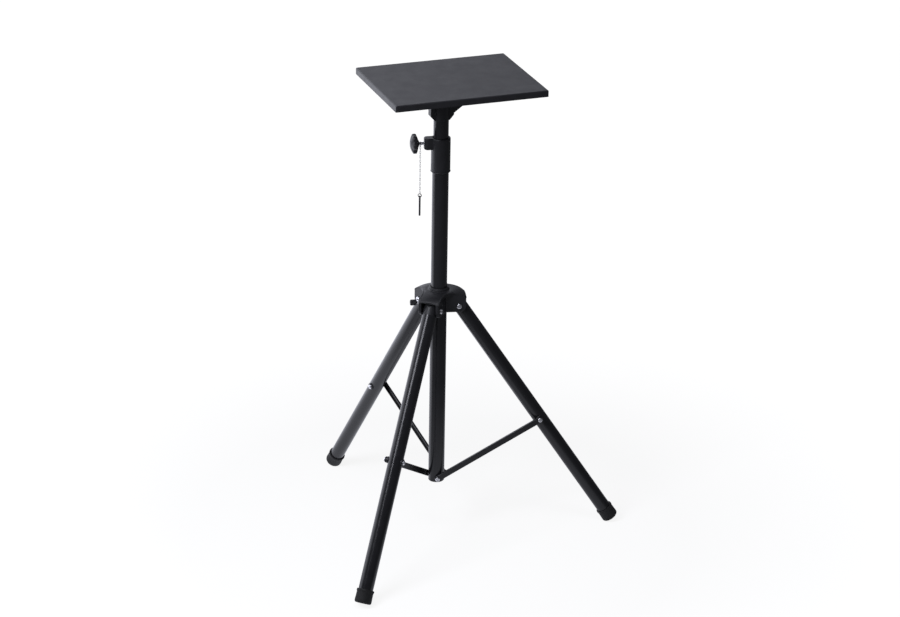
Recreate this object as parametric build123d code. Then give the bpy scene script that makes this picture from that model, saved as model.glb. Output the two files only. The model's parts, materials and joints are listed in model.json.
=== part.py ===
"""Portable projector stand: a folding steel tripod with a telescoping pole and a flat tray.

Millimetres, +Z up. The origin is on the floor, under the axis of the column. The tray's
long edges run along X and its front edge faces -Y.
"""
import os
from math import atan2, cos, degrees, hypot, radians, sin, sqrt

from build123d import *

# Column, the outer tube that everything is carried on
column_d = 38.0
column_wall = 1.0
column_length = 859.5
column_pin_to_end = 9.0
column_plug_rim = 2.5
column_plug_depth = 24.0
column_plug_round = 1.5

# Pole, the inner tube that slides in the column
pole_d = 35.0
pole_wall = 1.0
pole_length = 542.0
pole_out = 41.5
pole_bush_length = 30.0
pole_bush_rim = 4.0
pole_bush_wall = 2.0
pole_hole_d = 6.0
pole_hole_first = 70.0
pole_hole_pitch = 60.0
pole_hole_count = 5

# Tray, a sheet with its edges folded down
tray_width = 360.0
tray_depth = 284.0
tray_skirt = 15.0
tray_sheet = 1.2
tray_bend = 2.5
tray_corner = 3.0
tray_shift_x = 20.0
tray_shift_y = -8.0

# Bracket welded under the tray: a stub on a spigot, a folded head and a flange
stub_height = 96.0
spigot_wall = 1.5
spigot_length = 60.0
spigot_inside = 25.0
head_half_width = 28.0
head_depth = 17.0
head_sheet = 2.5
head_chamfer = 12.0
head_side = 4.0
head_flare_run = 40.0
head_flare_rise = 29.0
flange_width = 150.0
flange_depth = 90.0
flange_thickness = 3.0
flange_corner = 10.0

# Collar on top of the column, with the boss of the clamp screw
collar_wall = 3.3
collar_length = 83.0
collar_cover = 3.0
collar_round = 2.0
boss_azimuth = 170.0
boss_width = 24.0
boss_height = 27.0
boss_length = 16.7
boss_round = 9.0
boss_edge = 1.5
clamp_hole_d = 9.0

# Clamp screw and its knob
clamp_screw_d = 8.0
clamp_gap = 11.5
knob_d = 46.0
knob_neck_d = 14.0
knob_neck = 1.5
knob_flare = 4.5
knob_rim = 8.0
knob_crown = 6.5
knob_lobes = 6
knob_scallop_d = 15.0
knob_scallop_depth = 3.3
knob_insert = 11.0

# Safety pin on its chain, hung on the clamp screw
chain_gap = 8.3
wire_d = 1.2
shaft_ring_bore = 12.0
link_length = 7.4
link_width = 3.6
link_wire = 0.9
link_count = 21
pin_ring_d = 9.6
pin_d = 4.4
pin_length = 48.0
pin_tip = 0.8
pin_eye_depth = 2.6

# Hub, the moulded block that slides on the column and carries the legs
hub_wall = 6.75
hub_radius = 61.5
hub_crown = 36.0
hub_flat_d = 56.0
hub_corner_drop = 16.0
hub_ring_d = 47.0
hub_ring_height = 5.0
hub_ring_round = 1.2
hub_cheek = 7.0
hub_below = 15.0
hub_corner = 15.0
hub_edge = 2.5

# Lock screw of the hub
hub_lock_azimuth = 167.5
hub_lock_rise = 3.0
hub_lock_d = 6.0
hub_lock_boss_d = 15.0
hub_lock_boss = 11.0
hub_lock_gap = 15.0
hub_grip_d = 14.0
hub_grip_length = 15.0
hub_grip_insert = 10.0
hub_grip_edge = 1.2

# Legs
leg_count = 3
leg_azimuth = -12.5
leg_angle = 33.4
leg_d = 34.0
leg_wall = 1.0
leg_reach = 693.0
leg_pivot_radius = 45.0
leg_eye = 15.0
leg_spigot = 22.0
leg_bolt_d = 8.0
leg_bolt_head_d = 13.0
leg_bolt_head = 4.0
leg_nut_across = 13.0
leg_nut = 5.0
foot_wall = 2.75
foot_length = 32.0
foot_floor = 6.0
foot_round = 4.0
foot_lip_round = 1.6

# Braces, pressed straps from the column's foot to the legs
brace_station = 360.5
brace_length = 283.0
brace_width = 14.4
brace_depth = 5.0
brace_sheet = 1.5
brace_edge = 1.4
brace_gap = 1.5
brace_bolt_d = 6.0
brace_spacer_d = 9.0
brace_head_d = 11.0
brace_head = 3.4

# Rounding of every button head
button_round = 2.0

# Clearances
slide_clear = 0.25
turn_clear = 0.05
side_clear = 0.3
swing_clear = 0.8
roof_clear = 2.0
link_clear = 0.15
eye_clear = 0.35

# Radii and reaches from an axis
column_r = column_d / 2
column_bore_r = column_r - column_wall
pole_r = pole_d / 2
pole_bore_r = pole_r - pole_wall
spigot_r = pole_bore_r - slide_clear
leg_r = leg_d / 2
leg_bore_r = leg_r - leg_wall
foot_r = leg_r + foot_wall
collar_r = column_r + collar_wall
boss_reach = collar_r + boss_length
knob_start = boss_reach + clamp_gap
hang_radius = boss_reach + chain_gap
hub_bore_r = column_r + slide_clear
hub_core_r = hub_bore_r + hub_wall
hub_lock_boss_reach = hub_core_r + hub_lock_boss
hub_lock_start = hub_lock_boss_reach + hub_lock_gap
cheek_inner = leg_r + swing_clear
cheek_outer = cheek_inner + hub_cheek
hub_corner_r = hypot(hub_radius, cheek_outer)
brace_side = max(column_r, leg_r) + brace_gap
brace_web = brace_side + brace_depth

# Heights, from the floor up
slope = radians(leg_angle)
pivot_z = foot_round + (leg_reach - foot_round) * cos(slope) + (foot_r - foot_round) * sin(slope)
brace_leg_r = leg_pivot_radius + brace_station * sin(slope)
brace_leg_z = pivot_z - brace_station * cos(slope)
brace_column_z = brace_leg_z - sqrt(brace_length**2 - brace_leg_r**2)
brace_angle = degrees(atan2(brace_leg_r, brace_leg_z - brace_column_z))
column_bottom = brace_column_z - column_pin_to_end
column_top = column_bottom + column_length
collar_top = column_top + collar_cover
collar_bottom = collar_top - collar_length
clamp_z = collar_top - boss_height / 2
pole_top = collar_top + pole_out
pole_bottom = pole_top - pole_length
stub_bottom = pole_top + side_clear
tray_under = stub_bottom + stub_height
tray_top = tray_under + tray_sheet
flange_under = tray_under - flange_thickness
hub_bottom = pivot_z - hub_below
hub_slot_top = pivot_z + leg_r + roof_clear
hub_dome_top = pivot_z + hub_crown
hub_top = hub_dome_top + hub_ring_height
hub_lock_z = pivot_z + hub_lock_rise

# The pin's ring curves through the pin's eye, so the eye is wider than the wire
pin_ring_r = (pin_ring_d - wire_d) / 2
ring_rise = pin_ring_r - sqrt(pin_ring_r**2 - (pin_d / 2)**2)
pin_eye_d = wire_d + ring_rise + 2 * eye_clear

LOW = (Align.CENTER, Align.CENTER, Align.MIN)
HIGH = (Align.CENTER, Align.CENTER, Align.MAX)
BACK = (Align.MIN, Align.CENTER, Align.CENTER)
BACK_LOW = (Align.MIN, Align.CENTER, Align.MIN)


def leg_angles():
    """Azimuth of each leg about the column."""
    return [leg_azimuth + 360.0 / leg_count * i for i in range(leg_count)]


def rod(radius, start, end):
    """Round bar along Z from one height to another."""
    return Pos(0, 0, start) * Cylinder(radius, end - start, align=LOW)


def pipe(outer_r, inner_r, start, end):
    """Round tube along Z from one height to another."""
    return rod(outer_r, start, end) - rod(inner_r, start, end)


def round_end(solid, end, radius):
    """Rounds the outer rim at one end of a round bar: 0 for its lower end, -1 for its upper."""
    rims = solid.edges().filter_by(GeomType.CIRCLE).sort_by(Axis.Z)
    return fillet(rims[end], radius)


def hexagon(across, start, end):
    """Hexagonal bar along Z, sized across its flats."""
    profile = RegularPolygon(across / 2, 6, major_radius=False)
    return Pos(0, 0, start) * extrude(profile, end - start)


def button_head(diameter, height, seat):
    """Domed screw head along Z, standing up from its seat."""
    return round_end(rod(diameter / 2, seat, seat + height), -1, button_round)


def outward(azimuth, z):
    """Frame on the column's axis whose Z points out level at an azimuth."""
    return Pos(0, 0, z) * Rot(0, 0, azimuth) * Rot(0, 90, 0)


def sideways(azimuth, radius, z):
    """Frame on a leg's plane whose Z points clockwise, seen from above, along its hinge axis."""
    return Rot(0, 0, azimuth) * Pos(radius, 0, z) * Rot(90, 0, 0)


def column_tube():
    """Outer tube, with the clamp screw's hole near its top and a screw hole for each brace."""
    tube = pipe(column_r, column_bore_r, column_bottom, column_top)
    tube -= outward(boss_azimuth, clamp_z) * rod(clamp_hole_d / 2, 0, column_d)
    for azimuth in leg_angles():
        tube -= sideways(azimuth, 0, brace_column_z) * rod(brace_bolt_d / 2, 0, column_d)
    return tube


def column_plug():
    """Plastic plug in the column's foot, which the brace screws bite into."""
    plug = rod(column_r, column_bottom - column_plug_rim, column_bottom)
    plug = round_end(plug, 0, column_plug_round)
    plug += rod(column_bore_r, column_bottom, column_bottom + column_plug_depth)
    for azimuth in leg_angles():
        plug -= sideways(azimuth, 0, brace_column_z) * rod(brace_bolt_d / 2, 0, column_d)
    return plug


def brace_screw(azimuth):
    """Shoulder screw in the column's foot that a brace turns on."""
    seat = brace_web + side_clear
    screw = rod(brace_spacer_d / 2, 0, brace_web - brace_sheet - side_clear)
    screw -= Rot(90, 0, 0) * rod(column_r, -column_d, column_d)
    screw += rod(brace_bolt_d / 2, column_r / 2, seat)
    screw += button_head(brace_head_d, brace_head, seat)
    return sideways(azimuth, 0, brace_column_z) * screw


def top_collar():
    """Moulded sleeve over the column's top, with the boss of the clamp screw."""
    sleeve = rod(collar_r, collar_bottom, collar_top)
    sleeve = round_end(sleeve, 0, collar_round)
    sleeve = round_end(sleeve, -1, collar_round)
    boss = Box(boss_reach, boss_width, boss_height, align=BACK)
    boss = fillet(boss.edges().filter_by(Axis.Z).group_by(Axis.X)[-1], boss_round)
    boss = fillet(boss.faces().sort_by(Axis.Z)[0].edges(), boss_edge)
    boss = fillet(boss.faces().sort_by(Axis.Z)[-1].edges(), boss_edge)
    collar = sleeve + Pos(0, 0, clamp_z) * Rot(0, 0, boss_azimuth) * boss
    collar -= rod(column_r, collar_bottom, column_top)
    collar -= rod(pole_r + slide_clear, collar_bottom, collar_top)
    hole = rod(clamp_screw_d / 2 + turn_clear, 0, boss_reach)
    return collar - outward(boss_azimuth, clamp_z) * hole


def clamp_screw():
    """Threaded rod from the pole's wall to the knob."""
    screw = rod(clamp_screw_d / 2, pole_r + side_clear, knob_start + knob_insert)
    return outward(boss_azimuth, clamp_z) * screw


def clamp_knob():
    """Star knob: a neck, a flaring back, a scalloped rim and a domed crown."""
    neck_r = knob_neck_d / 2
    rim_r = knob_d / 2
    flare_start = knob_start + knob_neck
    rim_start = flare_start + knob_flare
    rim_end = rim_start + knob_rim
    top = rim_end + knob_crown
    crown_r = (rim_r**2 + knob_crown**2) / (2 * knob_crown)
    back = Polyline((0, top), (0, knob_start), (neck_r, knob_start), (neck_r, flare_start),
                    (rim_r, rim_start), (rim_r, rim_end))
    dome = RadiusArc((rim_r, rim_end), (0, top), -crown_r)
    knob = revolve(Plane.XZ * make_face([*back.edges(), dome]), Axis.Z)
    cut_r = knob_scallop_d / 2
    cut_at = rim_r + cut_r - knob_scallop_depth
    for i in range(knob_lobes):
        cut = Pos(cut_at, 0, 0) * rod(cut_r, flare_start, top)
        knob -= Rot(0, 0, 360.0 / knob_lobes * i) * cut
    knob -= rod(clamp_screw_d / 2, knob_start, knob_start + knob_insert)
    return outward(boss_azimuth, clamp_z) * knob


def inner_pole():
    """Sliding tube with a row of holes through it for the safety pin."""
    pole = pipe(pole_r, pole_bore_r, pole_bottom, pole_top)
    first = pole_bottom + pole_bush_length + pole_hole_first
    for i in range(pole_hole_count):
        hole = Rot(90, 0, 0) * Cylinder(pole_hole_d / 2, 2 * pole_d)
        pole -= Pos(0, 0, first + pole_hole_pitch * i) * hole
    return pole


def pole_bush():
    """Guide bush in the pole's lower end, running in the column."""
    foot = pole_bottom - pole_bush_rim
    top = pole_bottom + pole_bush_length
    bush = rod(column_bore_r - slide_clear, foot, pole_bottom) + rod(pole_bore_r, pole_bottom, top)
    return bush - rod(pole_bore_r - pole_bush_wall, foot, top)


def tray_plate():
    """Sheet-steel tray with its edges folded down and closed corners."""
    outer = Box(tray_width, tray_depth, tray_skirt, align=HIGH)
    outer = fillet(outer.edges().filter_by(Axis.Z), tray_corner)
    outer = fillet(outer.faces().sort_by(Axis.Z)[-1].edges(), tray_bend)
    inner = Box(tray_width - 2 * tray_sheet, tray_depth - 2 * tray_sheet, tray_skirt, align=HIGH)
    inner = fillet(inner.edges().filter_by(Axis.Z), tray_corner - tray_sheet)
    inner = fillet(inner.faces().sort_by(Axis.Z)[-1].edges(), tray_bend - tray_sheet)
    tray = outer - Pos(0, 0, -tray_sheet) * inner
    return Pos(tray_shift_x, tray_shift_y, tray_top) * tray


def head_outline():
    """Front view of the bracket's head: chamfered at its foot and flaring out on the tray's side."""
    side_low = stub_bottom + head_chamfer
    side_high = side_low + head_side
    reach = head_half_width + head_flare_run
    return make_face(Polyline(
        (-pole_r, stub_bottom), (pole_r, stub_bottom), (head_half_width, side_low),
        (head_half_width, side_high), (reach, side_high + head_flare_rise), (reach, flange_under),
        (-head_half_width, flange_under), (-head_half_width, side_low), close=True))


def tray_bracket():
    """Welded bracket: a tubular stub, a pan-shaped head round it and a flange under the tray."""
    back = Plane.XZ.offset(-head_depth / 2)
    room = offset(head_outline(), -head_sheet, kind=Kind.INTERSECTION)
    head = extrude(back * head_outline(), head_depth)
    head -= extrude(back * room, head_depth - head_sheet)
    flange = Box(flange_width, flange_depth, flange_thickness, align=LOW)
    flange = fillet(flange.edges().filter_by(Axis.Z), flange_corner)
    bracket = head + Pos(tray_shift_x, tray_shift_y, flange_under) * flange
    bracket += rod(pole_r, stub_bottom, flange_under)
    return bracket - rod(spigot_r, stub_bottom, flange_under)


def tray_spigot():
    """Tube pressed into the bracket's stub, which plugs into the pole."""
    return pipe(spigot_r, spigot_r - spigot_wall, stub_bottom - spigot_length,
                stub_bottom + spigot_inside)


def hub_dome():
    """Turned block that the arms are cut to: a flat middle, then an arc that falls to the corners."""
    flat_r = hub_flat_d / 2
    run = hub_corner_r - flat_r
    arc_r = (run**2 + hub_corner_drop**2) / (2 * hub_corner_drop)
    rim = (hub_corner_r, hub_dome_top - hub_corner_drop)
    sides = Polyline((flat_r, hub_dome_top), (0, hub_dome_top), (0, hub_bottom),
                     (hub_corner_r, hub_bottom), rim)
    arc = RadiusArc(rim, (flat_r, hub_dome_top), -arc_r)
    return revolve(Plane.XZ * make_face([*sides.edges(), arc]), Axis.Z)


def hub_arm():
    """One arm at azimuth 0: a hood with a domed top, its two cheeks rounded at their outer foot."""
    arm = Pos(0, 0, hub_bottom) * Box(
        hub_radius, 2 * cheek_outer, hub_dome_top - hub_bottom, align=BACK_LOW)
    foot = arm.edges().filter_by(Axis.Y).group_by(Axis.Z)[0].sort_by(Axis.X)[-1]
    arm = fillet(foot, hub_corner) & hub_dome()
    brow = arm.edges().filter_by(GeomType.LINE, reverse=True)
    return fillet(brow.filter_by_position(Axis.Z, hub_slot_top, hub_top), hub_edge)


def hub_slot():
    """Space for one leg's top at azimuth 0, open downward and outward."""
    start = leg_pivot_radius - leg_r - swing_clear
    foot = hub_bottom - hub_below
    return Pos(start, 0, foot) * Box(
        hub_radius, 2 * cheek_inner, hub_slot_top - foot, align=BACK_LOW)


def hub():
    """Moulded hub: a core on the column, a ring at its top and three hooded arms for the legs."""
    body = rod(hub_core_r, hub_bottom, hub_dome_top)
    body += round_end(rod(hub_ring_d / 2, hub_bottom, hub_top), -1, hub_ring_round)
    for azimuth in leg_angles():
        body += Rot(0, 0, azimuth) * hub_arm()
    lock = outward(hub_lock_azimuth, hub_lock_z)
    body += lock * rod(hub_lock_boss_d / 2, 0, hub_lock_boss_reach)
    for azimuth in leg_angles():
        body -= Rot(0, 0, azimuth) * hub_slot()
        body -= sideways(azimuth, leg_pivot_radius, pivot_z) * rod(
            leg_bolt_d / 2, -cheek_outer, cheek_outer)
    body -= rod(hub_bore_r, hub_bottom, hub_top)
    return body - lock * rod(hub_lock_d / 2 + turn_clear, 0, hub_lock_boss_reach)


def leg_bolt(azimuth):
    """Bolt across the hub's cheeks that a leg turns on, with its nut."""
    bolt = rod(leg_bolt_d / 2, -cheek_outer, cheek_outer)
    bolt += Rot(180, 0, 0) * button_head(leg_bolt_head_d, leg_bolt_head, cheek_outer)
    bolt += hexagon(leg_nut_across, cheek_outer, cheek_outer + leg_nut)
    return sideways(azimuth, leg_pivot_radius, pivot_z) * bolt


def hub_lock_screw():
    """Screw that holds the hub on the column."""
    screw = rod(hub_lock_d / 2, column_r + side_clear, hub_lock_start + hub_grip_insert)
    return outward(hub_lock_azimuth, hub_lock_z) * screw


def hub_lock_grip():
    """Small round grip on the hub's lock screw."""
    end = hub_lock_start + hub_grip_length
    grip = rod(hub_grip_d / 2, hub_lock_start, end)
    grip = chamfer(grip.edges().filter_by(GeomType.CIRCLE), hub_grip_edge)
    grip -= rod(hub_lock_d / 2, hub_lock_start, hub_lock_start + hub_grip_insert)
    return outward(hub_lock_azimuth, hub_lock_z) * grip


def on_leg(azimuth, piece):
    """Puts a piece drawn with the leg hanging down from its pivot onto the splayed leg."""
    place = Rot(0, 0, azimuth) * Pos(leg_pivot_radius, 0, pivot_z) * Rot(0, -leg_angle, 0)
    return place * piece


def leg_tube(azimuth):
    """Leg tube from below the hub into the foot, drilled across for the brace's bolt."""
    tube = pipe(leg_r, leg_bore_r, foot_floor - leg_reach, -leg_eye)
    cross = Rot(90, 0, 0) * rod(brace_bolt_d / 2, -leg_d, leg_d)
    return on_leg(azimuth, tube - Pos(0, 0, -brace_station) * cross)


def leg_plug(azimuth):
    """Plug in the leg's top: a rounded eye on the hub's bolt and a spigot in the tube."""
    eye_side = Rot(90, 0, 0) * Cylinder(leg_r, leg_d)
    neck = Box(leg_d, leg_d, leg_eye, align=HIGH)
    plug = rod(leg_r, -leg_eye, leg_r) & (eye_side + neck)
    plug += rod(leg_bore_r, -leg_eye - leg_spigot, -leg_eye)
    plug -= Rot(90, 0, 0) * Cylinder(leg_bolt_d / 2 + turn_clear, leg_d)
    return on_leg(azimuth, plug)


def foot_cap(azimuth):
    """Rubber cap on the leg's end, with a thick rounded floor."""
    cap = rod(foot_r, -leg_reach, foot_length - leg_reach)
    cap = round_end(cap, 0, foot_round)
    cap = round_end(cap, -1, foot_lip_round)
    cap -= rod(leg_r, foot_floor - leg_reach, foot_length - leg_reach)
    return on_leg(azimuth, cap)


def brace_bolt(azimuth):
    """Bolt across a leg at the brace's outer end, with a washer on the brace's side."""
    washer_face = brace_side - side_clear
    bolt = rod(brace_spacer_d / 2, 0, washer_face)
    bolt -= Rot(90, 0, 0) * rod(leg_r, -leg_d, leg_d)
    bolt += rod(brace_bolt_d / 2, -leg_r, washer_face)
    bolt += Rot(180, 0, 0) * button_head(brace_head_d, brace_head, leg_r)
    return on_leg(azimuth, Pos(0, 0, -brace_station) * Rot(90, 0, 0) * bolt)


def on_brace(azimuth, piece):
    """Puts a piece drawn on an upright brace, whose rim lies in the XZ plane, onto the sloping one."""
    place = Rot(0, 0, azimuth) * Pos(0, -brace_side, brace_column_z) * Rot(0, brace_angle, 0)
    return place * piece


def brace(azimuth):
    """Pressed strap with round ends and a folded rim, clockwise of its leg seen from above."""
    middle = Pos(0, brace_length / 2)
    outer = Plane.XZ * (middle * SlotCenterToCenter(brace_length, brace_width, rotation=90))
    inner = Plane.XZ * (middle * SlotCenterToCenter(
        brace_length, brace_width - 2 * brace_sheet, rotation=90))
    strap = extrude(outer, brace_depth)
    strap = fillet(strap.faces().sort_by(Axis.Y)[0].edges(), brace_edge)
    strap -= extrude(inner, brace_depth - brace_sheet)
    pin_hole = Rot(90, 0, 0) * rod(brace_bolt_d / 2 + turn_clear, 0, brace_depth)
    rivet_hole = Pos(0, 0, brace_length) * Rot(90, 0, 0) * rod(brace_bolt_d / 2, 0, brace_depth)
    return on_brace(azimuth, strap - pin_hole - rivet_hole)


def brace_rivet(azimuth):
    """Head and stud in a brace's outer end, over its leg bolt."""
    inside = brace_depth - brace_sheet
    rivet = rod(brace_spacer_d / 2, 0, inside)
    rivet += rod(brace_bolt_d / 2, inside, brace_depth)
    rivet += button_head(brace_head_d, brace_head, brace_depth)
    return on_brace(azimuth, Pos(0, 0, brace_length) * Rot(90, 0, 0) * rivet)


def oval_link(length, width, wire):
    """Flat oval link standing in the XZ plane, centred on the origin."""
    outline = SlotOverall(length, width, rotation=90)
    outline -= SlotOverall(length - 2 * wire, width - 2 * wire, rotation=90)
    return extrude(Plane.XZ * outline, wire / 2, both=True)


def hang_heights():
    """Heights of the shaft ring and the first link, the links' pitch, the pin's ring and its top."""
    shaft_ring = clamp_z + clamp_screw_d / 2 + link_clear - shaft_ring_bore / 2
    pitch = link_length - 2 * link_wire - link_clear
    hook = link_length / 2 - link_wire - link_clear
    first = shaft_ring - shaft_ring_bore / 2 - hook
    last = first - pitch * (link_count - 1)
    ring = last - hook - (pin_ring_d / 2 - wire_d)
    eye = ring - pin_ring_r + ring_rise / 2
    return shaft_ring, first, pitch, ring, eye + pin_eye_depth


def hang_place(z):
    """Frame on the line that the chain hangs down, facing out from the column."""
    return Pos(0, 0, z) * Rot(0, 0, boss_azimuth) * Pos(hang_radius, 0, 0)


def pin_chain():
    """Ring on the clamp screw and the chain's links, each one turned square to the last."""
    shaft_ring, first, pitch, ring, pin_top = hang_heights()
    wire_r = wire_d / 2
    links = [hang_place(shaft_ring) * Rot(0, 90, 0) * Torus(shaft_ring_bore / 2 + wire_r, wire_r)]
    for i in range(link_count):
        link = Rot(0, 0, 90.0 * (i % 2)) * oval_link(link_length, link_width, link_wire)
        links.append(hang_place(first - pitch * i) * link)
    return Compound(children=links)


def pin_ring():
    """Ring that joins the chain to the pin, square to the last link."""
    place = hang_place(hang_heights()[3]) * Rot(0, 0, 90.0 * (link_count % 2))
    return place * Rot(90, 0, 0) * Torus(pin_ring_r, wire_d / 2)


def safety_pin():
    """Steel pin with an eye across its top."""
    pin = round_end(rod(pin_d / 2, -pin_length, 0), 0, pin_tip)
    eye = Pos(0, 0, -pin_eye_depth) * Rot(0, 90, 0) * Cylinder(pin_eye_d / 2, 2 * pin_d)
    return hang_place(hang_heights()[4]) * Rot(0, 0, 90.0 * (link_count % 2)) * (pin - eye)


def main():
    os.makedirs("parts", exist_ok=True)
    shapes = {
        "column_tube": column_tube(),
        "column_plug": column_plug(),
        "top_collar": top_collar(),
        "inner_pole": inner_pole(),
        "pole_bush": pole_bush(),
        "tray_plate": tray_plate(),
        "tray_bracket": tray_bracket(),
        "tray_spigot": tray_spigot(),
        "hub": hub(),
        "hub_lock_screw": hub_lock_screw(),
        "hub_lock_grip": hub_lock_grip(),
        "clamp_screw": clamp_screw(),
        "clamp_knob": clamp_knob(),
        "pin_chain": pin_chain(),
        "pin_ring": pin_ring(),
        "safety_pin": safety_pin(),
    }
    for i, azimuth in enumerate(leg_angles(), start=1):
        shapes[f"leg_bolt_{i}"] = leg_bolt(azimuth)
        shapes[f"leg_tube_{i}"] = leg_tube(azimuth)
        shapes[f"leg_plug_{i}"] = leg_plug(azimuth)
        shapes[f"foot_cap_{i}"] = foot_cap(azimuth)
        shapes[f"brace_bolt_{i}"] = brace_bolt(azimuth)
        shapes[f"brace_{i}"] = brace(azimuth)
        shapes[f"brace_rivet_{i}"] = brace_rivet(azimuth)
        shapes[f"brace_screw_{i}"] = brace_screw(azimuth)
    for node, shape in shapes.items():
        export_step(shape, f"parts/{node}.step")


main()
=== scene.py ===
"""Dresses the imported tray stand: finishes on every node, and finer pieces where the eye looks."""
import json
from math import copysign, cos, pi, radians, sin, sqrt, tau

import bmesh
import bpy
from bpy.props import FloatProperty, FloatVectorProperty, IntProperty, PointerProperty
from mathutils import Matrix, Vector
from mathutils.bvhtree import BVHTree


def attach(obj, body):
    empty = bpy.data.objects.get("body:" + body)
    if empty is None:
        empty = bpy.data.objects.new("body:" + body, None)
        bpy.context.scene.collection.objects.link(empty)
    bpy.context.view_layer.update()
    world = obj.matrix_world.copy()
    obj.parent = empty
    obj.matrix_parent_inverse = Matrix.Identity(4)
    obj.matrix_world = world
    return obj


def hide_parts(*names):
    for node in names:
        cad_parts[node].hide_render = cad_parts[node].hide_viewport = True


bl_info = {
    "name": "Tray Stand Dresser",
    "version": (1, 0, 0),
    "blender": (4, 5, 0),
    "location": "View3D > Sidebar > Stand",
    "description": "Gives a folding tray stand its finishes, finer pieces and stage",
    "category": "Object",
}

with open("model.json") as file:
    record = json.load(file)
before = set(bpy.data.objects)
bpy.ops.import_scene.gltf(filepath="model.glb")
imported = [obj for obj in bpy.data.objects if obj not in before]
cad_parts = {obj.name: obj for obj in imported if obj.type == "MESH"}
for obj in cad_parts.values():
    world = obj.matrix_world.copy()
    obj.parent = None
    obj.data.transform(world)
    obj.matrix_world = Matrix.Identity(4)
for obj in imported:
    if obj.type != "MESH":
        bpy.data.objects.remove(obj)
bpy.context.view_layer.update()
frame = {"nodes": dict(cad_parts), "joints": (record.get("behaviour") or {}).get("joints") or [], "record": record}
NODES = frame["nodes"]
JOINTS = {joint["name"]: joint for joint in frame["joints"]}
LEGS = (1, 2, 3)
UP = Vector((0, 0, 1))
WORLD = Matrix.Identity(4)
MM = 0.001
SAME_POINT = 1e-6  # points nearer than this are merged

# Points round a turned piece, a ring of wire, a screw and a saddle washer
ROUND = 64
WIRE_ROUND = 40
SCREW_ROUND = 24
SADDLE_ROUND = 28

# Screws, as shares of the diameter of their heads
HEAD_RISE = 0.308
SHANK_R = 0.27
LEG_SHANK_R = 0.3
SPACER_R = 0.41

# Saddle washers, as shares of their diameter
SADDLE_SEAT = 0.11
SADDLE_SPACER_R = 0.47

# Rubbed marks: how much paler and duller they are than the finish
RUBBED_GAIN = 1.7
RUBBED_LIFT = 0.01
RUBBED_DULL = 0.18

# Finishes: grain and its depth in mm, smoothest and roughest patches, spread of tone, marks
METAL = {"mark_scale": 900.0, "metallic": 1.0}
FINISHES = {
    "tube_paint": {
        "grain_scale": 620.0, "grain_depth": 0.006, "smooth": 0.17, "rough": 0.23, "tone": 0.12},
    "strap_paint": {
        "grain_scale": 760.0, "grain_depth": 0.06, "smooth": 0.26, "rough": 0.36, "tone": 0.15},
    "tray_paint": {
        "grain_scale": 1500.0, "grain_depth": 0.16, "smooth": 0.38, "rough": 0.46, "tone": 0.14},
    "black_plastic": {
        "grain_scale": 1900.0, "grain_depth": 0.14, "smooth": 0.36, "rough": 0.46, "tone": 0.14,
        "mark_amount": 0.2},
    "foot_rubber": {
        "grain_scale": 1300.0, "grain_depth": 0.2, "smooth": 0.62, "rough": 0.8, "tone": 0.3,
        "mark_amount": 0.8},
    "zinc": {
        "grain_scale": 900.0, "grain_depth": 0.02, "smooth": 0.14, "rough": 0.26, "tone": 0.06,
        "mark_amount": 0.6, **METAL},
    "dark_steel": {
        "grain_scale": 900.0, "grain_depth": 0.03, "smooth": 0.26, "rough": 0.4, "tone": 0.25,
        "mark_amount": 0.7, **METAL},
    "chain_steel": {
        "grain_scale": 900.0, "grain_depth": 0.02, "smooth": 0.14, "rough": 0.28, "tone": 0.1,
        "mark_amount": 0.5, **METAL},
}


def slot_of(node):
    """The record's material slot of a CAD node."""
    for subpart in frame["record"]["subparts"]:
        if subpart["node"] == node:
            return subpart["material_slot"]
    raise RuntimeError(f"the record has no sub-part {node}")


def slot_colour(slot):
    """The record's colour of a material slot."""
    for material in frame["record"]["materials"]:
        if material["slot"] == slot:
            return tuple(material["base_color"])
    raise RuntimeError(f"the record has no material slot {slot}")


def colour_property(name, slot):
    """A colour that starts as the record's own."""
    return FloatVectorProperty(
        name=name, description=f"Base colour of the {name.lower()}", subtype="COLOR",
        size=3, min=0.0, max=1.0, default=slot_colour(slot))


def length_property(name, description, millimetres):
    """A length, written in millimetres and kept in metres."""
    return FloatProperty(
        name=name, description=description, subtype="DISTANCE", unit="LENGTH", precision=5,
        min=0.0, default=millimetres * MM)


def count_property(name, description, count, least):
    """A number of like things."""
    return IntProperty(name=name, description=description, default=count, min=least)


def angle_property(name, description, degrees):
    """An angle, written in degrees and kept in radians."""
    return FloatProperty(
        name=name, description=description, subtype="ANGLE", default=radians(degrees))


def level_property(name, description, level):
    """A plain number that sets how strong a thing is."""
    return FloatProperty(name=name, description=description, default=level)


def place_property(name, description, place):
    """A point of the studio, in metres."""
    return FloatVectorProperty(
        name=name, description=description, subtype="XYZ", unit="LENGTH", size=3, default=place)


def panel_property(name, description, width, height):
    """Width and height of a light, in metres."""
    return FloatVectorProperty(
        name=name, description=description, unit="LENGTH", size=2, min=0.0,
        default=(width, height))


class StandColours(bpy.types.PropertyGroup):
    """Base colours of the finishes"""

    tube_paint: colour_property("Tube paint", "tube_paint")
    strap_paint: colour_property("Strap paint", "strap_paint")
    tray_paint: colour_property("Tray paint", "tray_paint")
    black_plastic: colour_property("Black plastic", "black_plastic")
    foot_rubber: colour_property("Foot rubber", "foot_rubber")
    zinc: colour_property("Zinc", "zinc")
    dark_steel: colour_property("Dark steel", "dark_steel")
    chain_steel: colour_property("Chain steel", "chain_steel")


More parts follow.
